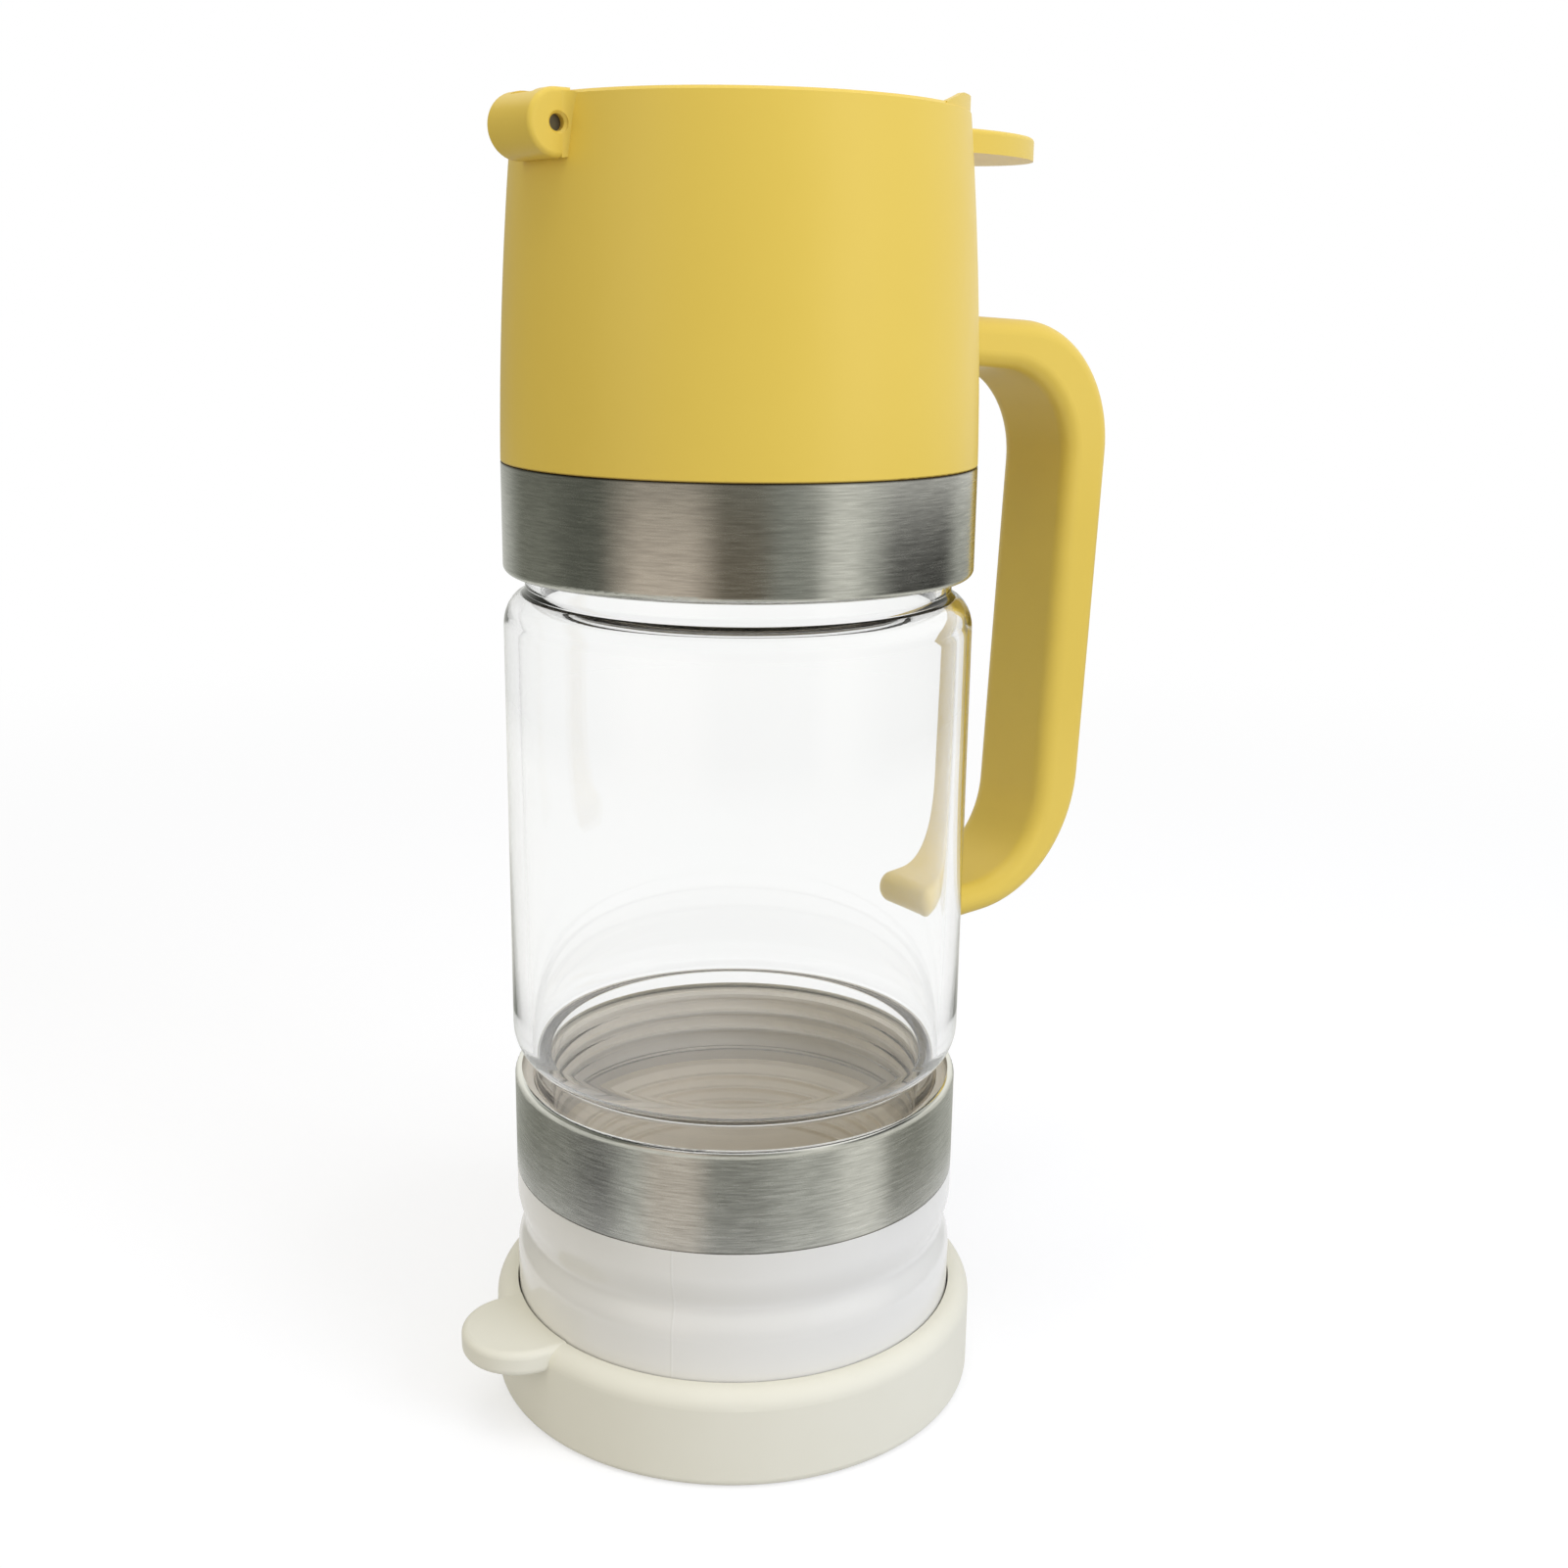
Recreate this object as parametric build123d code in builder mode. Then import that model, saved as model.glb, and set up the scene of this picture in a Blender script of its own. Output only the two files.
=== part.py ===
from build123d import *
from math import sqrt
import os

# Honey dispenser: a glass jar with two open ends, a head with a hinged lid, and a base cap.
# Millimetres. +Z is up, the origin is at the centre of the base cap's underside,
# the handle and the lid's thumb tab point along +X and the lid's hinge is on -X.

os.makedirs("parts", exist_ok=True)

# Clearances: pushed together, turning or sliding past, and seated flat
press_gap = 0.05
turn_gap = 0.45
seat_gap = 0.3

# Stack of heights, from the table up
cap_floor = 2.4
skirt_length = 39.0
band_height = 18.2
jar_reveal = 89.9
head_height = 56.0

# Steel bands and the threaded collars inside them
band_radius = 40.0
band_wall = 0.6
collar_recess = 1.2
collar_web = 1.7
collar_wall = 1.4
snap_ring_height = 5.0
snap_ring_wall = 1.4

# Glass jar
jar_proud = 0.1
jar_wall = 2.6
jar_straight = 71.9
shoulder_radius = 6.0
thread_pitch = 3.6
thread_height = 1.1
thread_width = 1.5
thread_turns = 3
thread_start = 2.0
gasket_thickness = 2.0
flange_thickness = 1.4

# Base cap and its pull tab
cap_wall = 3.8
cap_height = 17.8
cap_top_round = 3.2
cap_foot_round = 1.5
tab_azimuth = 173.0
tab_length = 9.7
tab_half_width = 10.4
tab_round = 10.2
tab_thickness = 4.5
tab_edge_round = 1.2
tab_rise = 0.2

# Outlet: skirt, funnel, slit valve and its retainer
skirt_foot_flare = 0.1
skirt_foot_reveal = 7.0
skirt_waist_depth = 1.35
skirt_waist_drop = 11.2
skirt_shoulder_drop = 4.4
skirt_wall = 1.6
skirt_foot_wall = 2.0
funnel_wall = 1.4
funnel_lip = 2.4
funnel_depth = 21.1
spout_radius = 8.6
spout_length = 5.5
socket_depth = 4.1
valve_seat_width = 1.6
valve_flange = 1.4
valve_membrane = 0.9
valve_dome_inset = 1.2
valve_dome_rise = 1.3
valve_slit_length = 9.0
valve_slit_width = 0.25
retainer_lip = 0.4
plug_gap = 0.8

# Head shell, deck and rim
head_taper = 3.25
head_bulge = 0.62
head_wall = 2.2
rim_wall = 1.35
rim_chamfer = 0.5
rim_round = 0.5
head_foot_round = 0.4
deck_drop = 5.6
deck_thickness = 1.7
guard_height = 1.9
guard_inset = 0.15
guard_start = 13.0
guard_full = 19.6
guard_crest = 0.6

# Lid, its inner plate and seal, and the hinge
lid_gap = 1.2
chord_margin = 1.2
lid_thickness = 3.9
lid_plate = 2.2
lid_edge = 1.8
lid_corner_round = 2.0
thumb_reach = 25.3
thumb_length = 25.0
thumb_half_width = 16.0
thumb_edge_round = 0.8
fill_radius = 27.0
liner_wall = 1.5
lid_plug_depth = 5.4
lid_plug_wall = 1.4
lid_liner_plate = 1.4
lid_seal_height = 2.2
lid_seal_section = 1.2
hinge_proud = 1.85
hinge_drop = 4.7
hinge_radius = 5.0
hinge_length = 12.6
hinge_end_round = 0.8
hinge_blend = 2.2
knuckle_radius = 3.3
knuckle_length = 6.0
tongue_thickness = 2.4
lid_open_angle = 95.0
pin_radius = 1.25
pin_recess = 1.4
pin_chamfer = 0.4
countersink_angle = 45.0

# Handle and its two screws
handle_width = 19.0
arm_drop = 31.4
arm_slope = 2.2
arm_thickness = 8.6
foot_thickness = 6.4
foot_slope = 1.3
handle_length = 113.3
handle_top_out = 43.0
handle_foot_out = 37.7
grip_top_thickness = 11.2
grip_foot_thickness = 10.9
handle_gap = 3.5
handle_outer_top_round = 23.4
handle_outer_foot_round = 26.2
handle_inner_top_round = 17.1
handle_inner_foot_round = 16.4
handle_edge_round = 3.0
boss_depth = 2.4
boss_margin = 2.0
screw_spacing = 9.0
screw_radius = 1.5
screw_length = 14.0
screw_head_radius = 2.8
screw_head_height = 1.8

# Heights that follow from the stack
skirt_top = cap_floor + skirt_length
lower_band_top = skirt_top + band_height
jar_middle = lower_band_top + jar_reveal / 2
upper_band_bottom = lower_band_top + jar_reveal
head_bottom = upper_band_bottom + band_height
rim_height = head_bottom + head_height
flange_bottom = skirt_top + collar_web
flange_top = flange_bottom + flange_thickness
jar_mouth = flange_top + gasket_thickness
jar_mirror = Plane.XY.offset(jar_middle)
skirt_foot_height = cap_height + skirt_foot_reveal
skirt_waist_height = skirt_top - skirt_waist_drop
skirt_shoulder_height = skirt_top - skirt_shoulder_drop
spout_top = flange_bottom - funnel_depth
valve_seat = spout_top - spout_length
spout_bottom = valve_seat - socket_depth
valve_bottom = valve_seat - valve_flange

# Radii that follow from what fits inside what
jar_radius = band_radius + jar_proud
collar_radius = band_radius - band_wall - press_gap
collar_bore = collar_radius - collar_wall
neck_radius = collar_bore - turn_gap - thread_height
neck_bore = neck_radius - jar_wall
collar_hole_radius = neck_bore - seat_gap
flange_radius = collar_bore - seat_gap
skirt_foot_radius = band_radius + skirt_foot_flare
skirt_waist_radius = band_radius - skirt_waist_depth
cap_bore = skirt_foot_radius + seat_gap
cap_radius = cap_bore + cap_wall
tab_reach = cap_radius + tab_length
funnel_mouth_radius = neck_bore - funnel_lip
valve_radius = spout_radius + valve_seat_width
valve_dome_radius = spout_radius - valve_dome_inset
retainer_bore = spout_radius - retainer_lip
plug_radius = retainer_bore - plug_gap
rim_radius = band_radius - head_taper
rim_bore = rim_radius - rim_wall
liner_radius = fill_radius + liner_wall
lid_radius = rim_bore - lid_gap
lid_chord = fill_radius + chord_margin
thumb_tip = rim_radius + thumb_reach
thumb_centre = thumb_tip - thumb_length
hinge_offset = rim_radius + hinge_proud
handle_top_reach = band_radius + handle_top_out
handle_foot_reach = band_radius + handle_foot_out

# Heights of the deck, the lid on it and its hinge
deck_height = rim_height - deck_drop
lid_bottom = deck_height + seat_gap
lid_top = lid_bottom + lid_thickness
pin_height = rim_height - hinge_drop


def head_radius(height):
    """Outer radius of the head at a height: a straight taper with a slight bulge."""
    share = (height - head_bottom) / head_height
    chord = band_radius + (rim_radius - band_radius) * share
    return chord + 4 * head_bulge * share * (1 - share)


snap_ring_radius = head_radius(head_bottom + snap_ring_height) - head_wall - press_gap


def thread_profile(radius, side):
    """Points of one thread ring's section, pointing out (+1) or in (-1)."""
    crest = radius + side * thread_height
    return [
        (radius - side * press_gap, -thread_width / 2),
        (crest, -thread_width / 4),
        (crest, thread_width / 4),
        (radius - side * press_gap, thread_width / 2),
    ]


jar_thread_heights = [jar_mouth + thread_start + turn * thread_pitch for turn in range(thread_turns)]
collar_thread_heights = [height + thread_pitch / 2 for height in jar_thread_heights]

# Base cap: soft push-on cap that the dispenser stands in, with a pull tab and a valve plug
with BuildPart() as pull_tab:
    with BuildSketch(Plane.XY.offset(cap_height + tab_rise - tab_thickness).rotated((0, 0, tab_azimuth))):
        with Locations((tab_reach - tab_round, 0)):
            Ellipse(tab_round, tab_half_width)
            Rectangle(tab_round, 2 * tab_half_width, align=(Align.MAX, Align.CENTER))
    extrude(amount=tab_thickness)
    fillet(pull_tab.faces().sort_by(Axis.Z)[-1].edges(), tab_edge_round)
    fillet(pull_tab.faces().sort_by(Axis.Z)[0].edges(), tab_edge_round)

with BuildPart() as base_cap:
    with BuildSketch(Plane.XZ) as cap_section:
        Rectangle(cap_radius, cap_height, align=(Align.MIN, Align.MIN))
        fillet(cap_section.vertices().sort_by_distance((cap_radius, cap_height))[0], cap_top_round)
        fillet(cap_section.vertices().sort_by_distance((cap_radius, 0))[0], cap_foot_round)
    revolve(axis=Axis.Z)
    add(pull_tab.part)
    with BuildSketch(Plane.XY.offset(cap_floor)):
        Circle(cap_bore)
    extrude(amount=cap_height, mode=Mode.SUBTRACT)
    with BuildSketch(Plane.XY.offset(cap_floor)):
        Circle(plug_radius)
    extrude(amount=valve_bottom - seat_gap - cap_floor)
base_cap.part.label = "base_cap"
export_step(base_cap.part, "parts/base_cap.step")

# Outlet skirt: waisted white shell between the base cap and the lower band
with BuildPart() as outlet_skirt:
    with BuildSketch(Plane.XZ):
        with BuildLine():
            Line((skirt_foot_radius, cap_floor), (skirt_foot_radius, skirt_foot_height))
            Spline(
                (skirt_foot_radius, skirt_foot_height),
                (skirt_waist_radius, skirt_waist_height),
                (band_radius, skirt_shoulder_height),
                tangents=((0, 1), (0, 1)),
            )
            Polyline(
                (band_radius, skirt_shoulder_height),
                (band_radius, skirt_top),
                (snap_ring_radius + press_gap, skirt_top),
                (snap_ring_radius + press_gap, skirt_top - snap_ring_height - seat_gap),
                (skirt_waist_radius - skirt_wall, skirt_waist_height),
                (skirt_foot_radius - skirt_foot_wall, skirt_foot_height),
                (skirt_foot_radius - skirt_foot_wall, cap_floor),
                (skirt_foot_radius, cap_floor),
            )
        make_face()
    revolve(axis=Axis.Z)
outlet_skirt.part.label = "outlet_skirt"
export_step(outlet_skirt.part, "parts/outlet_skirt.step")

# Outlet funnel: flange clamped in the collar, cone, and a spout with the valve's seat and socket
socket_radius = valve_radius + press_gap
with BuildPart() as outlet_funnel:
    with BuildSketch(Plane.XZ):
        with BuildLine():
            Polyline(
                (flange_radius, flange_bottom),
                (flange_radius, flange_top),
                (funnel_mouth_radius, flange_top),
                (spout_radius, spout_top),
                (spout_radius, valve_seat),
                (socket_radius, valve_seat),
                (socket_radius, spout_bottom),
                (socket_radius + funnel_wall, spout_bottom),
                (socket_radius + funnel_wall, spout_top),
                (funnel_mouth_radius, flange_bottom),
                close=True,
            )
        make_face()
    revolve(axis=Axis.Z)
outlet_funnel.part.label = "outlet_funnel"
export_step(outlet_funnel.part, "parts/outlet_funnel.step")

# Slit valve: soft disc with a domed membrane cut by a cross
dome_arc_radius = (valve_dome_radius**2 + valve_dome_rise**2) / (2 * valve_dome_rise)
dome_top = valve_bottom + valve_dome_rise
with BuildPart() as slit_valve:
    with BuildSketch(Plane.XZ):
        with BuildLine():
            Line((0, dome_top), (0, dome_top + valve_membrane))
            RadiusArc(
                (0, dome_top + valve_membrane),
                (valve_dome_radius, valve_bottom + valve_membrane),
                dome_arc_radius,
            )
            Polyline(
                (valve_dome_radius, valve_bottom + valve_membrane),
                (spout_radius, valve_seat),
                (valve_radius, valve_seat),
                (valve_radius, valve_bottom),
                (valve_dome_radius, valve_bottom),
            )
            RadiusArc((valve_dome_radius, valve_bottom), (0, dome_top), -dome_arc_radius)
        make_face()
    revolve(axis=Axis.Z)
    with BuildSketch(Plane.XY.offset(valve_bottom)):
        Rectangle(valve_slit_length, valve_slit_width)
        Rectangle(valve_slit_width, valve_slit_length)
    extrude(amount=valve_dome_rise + valve_membrane, mode=Mode.SUBTRACT)
slit_valve.part.label = "slit_valve"
export_step(slit_valve.part, "parts/slit_valve.step")

# Valve retainer: ring pushed up the spout's socket under the valve's flange
with BuildPart() as valve_retainer:
    with BuildSketch(Plane.XY.offset(spout_bottom)):
        Circle(valve_radius)
        Circle(retainer_bore, mode=Mode.SUBTRACT)
    extrude(amount=valve_bottom - spout_bottom)
valve_retainer.part.label = "valve_retainer"
export_step(valve_retainer.part, "parts/valve_retainer.step")

# Lower collar: threaded ring with a web, and a snap ring that plugs into the skirt
with BuildPart() as lower_collar:
    with BuildSketch(Plane.XZ):
        with BuildLine():
            Polyline(
                (collar_hole_radius, skirt_top),
                (collar_hole_radius, flange_bottom),
                (collar_bore, flange_bottom),
                (collar_bore, lower_band_top - collar_recess),
                (collar_radius, lower_band_top - collar_recess),
                (collar_radius, skirt_top),
                (snap_ring_radius, skirt_top),
                (snap_ring_radius, skirt_top - snap_ring_height),
                (snap_ring_radius - snap_ring_wall, skirt_top - snap_ring_height),
                (snap_ring_radius - snap_ring_wall, skirt_top),
                close=True,
            )
        make_face()
        for height in collar_thread_heights:
            with Locations((0, height)):
                Polygon(*thread_profile(collar_bore, -1), align=None)
    revolve(axis=Axis.Z)
lower_collar.part.label = "lower_collar"
export_step(lower_collar.part, "parts/lower_collar.step")

# Lower band: brushed steel sleeve around the lower collar, rolled in over the collar's end
band_roll = collar_recess
roll_height = lower_band_top - band_roll
roll_centre = band_radius - band_roll
with BuildPart() as lower_band:
    with BuildSketch(Plane.XZ):
        with BuildLine():
            Line((band_radius, skirt_top), (band_radius, roll_height))
            RadiusArc((band_radius, roll_height), (roll_centre, lower_band_top), -band_roll)
            Line((roll_centre, lower_band_top), (roll_centre, lower_band_top - band_wall))
            RadiusArc(
                (roll_centre, lower_band_top - band_wall),
                (band_radius - band_wall, roll_height),
                band_roll - band_wall,
            )
            Polyline(
                (band_radius - band_wall, roll_height),
                (band_radius - band_wall, skirt_top),
                (band_radius, skirt_top),
            )
        make_face()
    revolve(axis=Axis.Z)
lower_band.part.label = "lower_band"
export_step(lower_band.part, "parts/lower_band.step")

# Lower gasket: soft ring between the funnel's flange and the jar's lower mouth
with BuildPart() as lower_gasket:
    with BuildSketch(Plane.XY.offset(flange_top)):
        Circle(flange_radius)
        Circle(neck_bore, mode=Mode.SUBTRACT)
    extrude(amount=gasket_thickness)
lower_gasket.part.label = "lower_gasket"
export_step(lower_gasket.part, "parts/lower_gasket.step")

# Glass jar: straight wall, two shoulders and two threaded necks, the same at both ends
straight_bottom = jar_middle - jar_straight / 2
shoulder_centre = jar_radius - shoulder_radius
shoulder_rise = sqrt(shoulder_radius**2 - (neck_radius - shoulder_centre) ** 2)
inner_shoulder = shoulder_radius - jar_wall
with BuildPart() as glass_jar:
    with BuildSketch(Plane.XZ):
        with BuildLine():
            Polyline(
                (jar_radius - jar_wall, jar_middle),
                (jar_radius, jar_middle),
                (jar_radius, straight_bottom),
            )
            RadiusArc(
                (jar_radius, straight_bottom),
                (neck_radius, straight_bottom - shoulder_rise),
                shoulder_radius,
            )
            Polyline(
                (neck_radius, straight_bottom - shoulder_rise),
                (neck_radius, jar_mouth),
                (neck_bore, jar_mouth),
                (neck_bore, straight_bottom - inner_shoulder),
                (shoulder_centre, straight_bottom - inner_shoulder),
            )
            RadiusArc(
                (shoulder_centre, straight_bottom - inner_shoulder),
                (jar_radius - jar_wall, straight_bottom),
                -inner_shoulder,
            )
            Line((jar_radius - jar_wall, straight_bottom), (jar_radius - jar_wall, jar_middle))
        make_face()
        for height in jar_thread_heights:
            with Locations((0, height)):
                Polygon(*thread_profile(neck_radius, 1), align=None)
    revolve(axis=Axis.Z)
    mirror(about=jar_mirror)
glass_jar.part.label = "glass_jar"
export_step(glass_jar.part, "parts/glass_jar.step")

# Upper gasket, collar and band: the lower set turned over about the jar's middle
with BuildPart() as upper_gasket:
    mirror(lower_gasket.part, about=jar_mirror)
upper_gasket.part.label = "upper_gasket"
export_step(upper_gasket.part, "parts/upper_gasket.step")

with BuildPart() as upper_collar:
    mirror(lower_collar.part, about=jar_mirror)
upper_collar.part.label = "upper_collar"
export_step(upper_collar.part, "parts/upper_collar.step")

with BuildPart() as upper_band:
    mirror(lower_band.part, about=jar_mirror)
upper_band.part.label = "upper_band"
export_step(upper_band.part, "parts/upper_band.step")

# Head liner: white fill chimney from the jar's mouth to the deck under the lid
liner_flange_bottom = 2 * jar_middle - flange_top
liner_flange_top = 2 * jar_middle - flange_bottom
with BuildPart() as head_liner:
    with BuildSketch(Plane.XZ):
        with BuildLine():
            Polyline(
                (fill_radius, liner_flange_bottom),
                (flange_radius, liner_flange_bottom),
                (flange_radius, liner_flange_top),
                (liner_radius, liner_flange_top),
                (liner_radius, deck_height),
                (fill_radius, deck_height),
                close=True,
            )
        make_face()
    revolve(axis=Axis.Z)
head_liner.part.label = "head_liner"
export_step(head_liner.part, "parts/head_liner.step")

# Hinge housing, a part of the head shell: a short barrel lying across the outside of the rim
with BuildPart() as hinge_barrel:
    with BuildSketch(Plane.XZ.offset(-hinge_length / 2)):
        with Locations((-hinge_offset, pin_height)):
            Circle(hinge_radius)
            Rectangle(hinge_proud + rim_wall / 2, hinge_radius, align=(Align.MIN, Align.MIN))
    extrude(amount=hinge_length)
    fillet(hinge_barrel.faces().filter_by(Axis.Y).edges(), hinge_end_round)

# Flares, also a part of the head shell: concave blends from the barrel's end faces into the wall
flare_y = hinge_length / 2 + hinge_blend
flare_x = -sqrt((rim_radius + hinge_blend) ** 2 - flare_y**2)
flare_root = (rim_radius - rim_wall / 2) / (rim_radius + hinge_blend)
with BuildPart() as hinge_flares:
    with BuildSketch(Plane.XY.offset(pin_height - hinge_radius)):
        for side in (-1, 1):
            Polygon(
                (flare_x, side * flare_y),
                (flare_x, side * (hinge_length - hinge_end_round) / 2),
                (flare_x * flare_root, side * (hinge_length - hinge_end_round) / 2),
                (flare_x * flare_root, side * flare_y * flare_root),
                align=None,
            )
        with Locations((flare_x, -flare_y), (flare_x, flare_y)):
            Circle(hinge_blend, mode=Mode.SUBTRACT)
    extrude(amount=rim_height - rim_chamfer / 2 - pin_height + hinge_radius)
    with BuildSketch(Plane.XZ.offset(-flare_y)):
        with Locations((-hinge_offset, pin_height)):
            Circle(hinge_radius)
    extrude(amount=2 * flare_y, mode=Mode.INTERSECT)

# Head shell: tapering wall, deck, raised rim guard, hinge housing and handle boss
arm_top = rim_height - arm_drop
arm_middle = arm_top - arm_thickness / 2
boss_face = head_radius(arm_middle) - head_wall - boss_depth
wall_inner_middle = (head_bottom + deck_height - deck_thickness) / 2
wall_inner_top = deck_height - deck_thickness
with BuildPart() as head_shell:
    with BuildSketch(Plane.XZ) as head_section:
        with BuildLine():
            ThreePointArc(
                (band_radius, head_bottom),
                (head_radius(head_bottom + head_height / 2), head_bottom + head_height / 2),
                (rim_radius, rim_height),
            )
            Polyline(
                (rim_radius, rim_height),
                (rim_bore, rim_height),
                (rim_bore, deck_height),
                (liner_radius + press_gap, deck_height),
                (liner_radius + press_gap, wall_inner_top),
                (head_radius(wall_inner_top) - head_wall, wall_inner_top),
            )
            ThreePointArc(
                (head_radius(wall_inner_top) - head_wall, wall_inner_top),
                (head_radius(wall_inner_middle) - head_wall, wall_inner_middle),
                (band_radius - head_wall, head_bottom),
            )
            Line((band_radius - head_wall, head_bottom), (band_radius, head_bottom))
        make_face()
        chamfer(head_section.vertices().sort_by_distance((rim_radius, rim_height))[0], rim_chamfer)
        fillet(head_section.vertices().sort_by_distance((rim_bore, rim_height))[0], rim_round)
        fillet(head_section.vertices().sort_by_distance((band_radius, head_bottom))[0], head_foot_round)
    revolve(axis=Axis.Z)
    # Handle boss: a flat pad inside the wall for the two screw heads
    boss_height = 2 * (screw_head_radius + boss_margin)
    with BuildSketch(Plane.YZ.offset(boss_face)):
        with Locations((0, arm_middle)):
            Rectangle(screw_spacing + boss_height, boss_height)
    extrude(amount=boss_depth + head_wall / 4)
    # Hinge housing, blended into the wall by its flares
    add(hinge_barrel.part)
    add(hinge_flares.part)
    # Slot in the barrel and the rim for the lid's knuckle and tongue
    knuckle_slot = knuckle_length + 2 * seat_gap
    with BuildSketch(Plane.XZ.offset(-knuckle_slot / 2)):
        with Locations((-hinge_offset, pin_height)):
            Circle(knuckle_radius + seat_gap)
    extrude(amount=knuckle_slot, mode=Mode.SUBTRACT)
    slot_reach = hinge_drop + guard_height
    tongue_clear = lid_bottom + tongue_thickness + seat_gap - pin_height
    with BuildSketch(Plane.XZ.offset(-knuckle_slot / 2)):
        with Locations((-hinge_offset, deck_height)):
            Rectangle(hinge_offset, slot_reach + pin_height - deck_height, align=(Align.MIN, Align.MIN))
        with Locations((-hinge_offset, pin_height)):
            Rectangle(
                slot_reach, 2 * tongue_clear, rotation=lid_open_angle, align=(Align.MIN, Align.CENTER)
            )
    extrude(amount=knuckle_slot, mode=Mode.SUBTRACT)
    # Bore for the pin, with a countersunk mouth at each end
    with BuildSketch(Plane.XZ.offset(-hinge_length / 2)):
        with Locations((-hinge_offset, pin_height)):
            Circle(pin_radius)
    extrude(amount=hinge_length, mode=Mode.SUBTRACT)
    for mouth, inwards in ((hinge_length / 2, -1), (-hinge_length / 2, 1)):
        with BuildSketch(Plane.XZ.offset(mouth)):
            with Locations((-hinge_offset, pin_height)):
                Circle(pin_radius + pin_chamfer)
        extrude(amount=inwards * pin_chamfer, taper=countersink_angle, mode=Mode.SUBTRACT)
        with BuildSketch(Plane.XZ.offset(mouth)):
            with Locations((-hinge_offset, pin_height)):
                Circle(pin_radius + pin_chamfer)
        extrude(amount=-inwards * hinge_blend, mode=Mode.SUBTRACT)
    # Rim guard: the rim stands up on the handle's side and rises gently to the thumb tab's notch
    guard_top = rim_height + guard_height + guard_crest
    with BuildSketch(Plane.XZ):
        with BuildLine():
            Polyline(
                (rim_bore, rim_height - guard_height),
                (rim_bore, guard_top),
                (rim_radius - guard_inset, guard_top),
                (rim_radius - guard_inset, rim_height - guard_height),
                close=True,
            )
        make_face()
    guard_ring = revolve(axis=Axis.Z, mode=Mode.PRIVATE)
    with BuildSketch(Plane.XZ.offset(-band_radius)):
        Polygon(
            (guard_start, rim_height - guard_height / 2),
            (guard_start, rim_height),
            (guard_full, rim_height + guard_height),
            (band_radius, guard_top),
            (band_radius, rim_height - guard_height / 2),
            align=None,
        )
    guard_block = extrude(amount=2 * band_radius, mode=Mode.PRIVATE)
    add(guard_ring & guard_block)
    # Notch in the rim for the lid's thumb tab
    notch_width = 2 * (thumb_half_width + seat_gap)
    with BuildSketch(Plane.XY.offset(deck_height)):
        Rectangle(band_radius, notch_width, align=(Align.MIN, Align.CENTER))
    extrude(amount=guard_top - deck_height, mode=Mode.SUBTRACT)
    # Screw holes through the boss and wall
    with BuildSketch(Plane.YZ.offset(boss_face)):
        with Locations((-screw_spacing / 2, arm_middle), (screw_spacing / 2, arm_middle)):
            Circle(screw_radius)
    extrude(amount=screw_length, mode=Mode.SUBTRACT)
head_shell.part.label = "head_shell"
export_step(head_shell.part, "parts/head_shell.step")

# Handle: C-shaped grip from the head down to a free end beside the glass
handle_bottom = arm_top - handle_length
handle_end = jar_radius + handle_gap
grip_inner_top = handle_top_reach - grip_top_thickness
grip_inner_foot = handle_foot_reach - grip_foot_thickness
handle_root = head_radius(arm_middle) - head_wall
free_end_round = foot_thickness / 2 - seat_gap / 2
handle_corners = [
    ((handle_top_reach, arm_top - arm_slope), handle_outer_top_round),
    ((handle_foot_reach, handle_bottom + foot_slope), handle_outer_foot_round),
    ((handle_end, handle_bottom), free_end_round),
    ((handle_end, handle_bottom + foot_thickness), free_end_round),
    ((grip_inner_foot, handle_bottom + foot_thickness), handle_inner_foot_round),
    ((grip_inner_top, arm_top - arm_slope - arm_thickness), handle_inner_top_round),
]
with BuildPart() as handle:
    with BuildSketch(Plane.XZ) as handle_outline:
        with BuildLine():
            Polyline(
                (handle_root, arm_top),
                *[corner for corner, radius in handle_corners],
                (handle_root, arm_top - arm_thickness),
                close=True,
            )
        make_face()
        for corner, radius in handle_corners:
            fillet(handle_outline.vertices().sort_by_distance(corner)[0], radius)
    extrude(amount=handle_width / 2, both=True)
    side_edges = handle.edges().filter_by(Axis.Y, reverse=True)
    fillet(side_edges, min(handle_edge_round, free_end_round - press_gap))
    with BuildSketch(Plane.XZ):
        with BuildLine():
            ThreePointArc(
                (band_radius + press_gap, head_bottom),
                (head_radius(head_bottom + head_height / 2) + press_gap, head_bottom + head_height / 2),
                (rim_radius + press_gap, rim_height),
            )
            Polyline(
                (rim_radius + press_gap, rim_height),
                (0, rim_height),
                (0, head_bottom),
                (band_radius + press_gap, head_bottom),
            )
        make_face()
    revolve(axis=Axis.Z, mode=Mode.SUBTRACT)
    with BuildSketch(Plane.YZ.offset(boss_face)):
        with Locations((-screw_spacing / 2, arm_middle), (screw_spacing / 2, arm_middle)):
            Circle(screw_radius)
    extrude(amount=screw_length, mode=Mode.SUBTRACT)
handle.part.label = "handle"
export_step(handle.part, "parts/handle.step")

# Handle screws: two pan heads inside the head, shanks through the wall into the arm
with BuildPart() as handle_screws:
    with BuildSketch(Plane.YZ.offset(boss_face - screw_head_height)):
        with Locations((-screw_spacing / 2, arm_middle), (screw_spacing / 2, arm_middle)):
            Circle(screw_head_radius)
    extrude(amount=screw_head_height)
    with BuildSketch(Plane.YZ.offset(boss_face)):
        with Locations((-screw_spacing / 2, arm_middle), (screw_spacing / 2, arm_middle)):
            Circle(screw_radius)
    extrude(amount=screw_length)
handle_screws.part.label = "handle_screws"
export_step(handle_screws.part, "parts/handle_screws.step")

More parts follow.
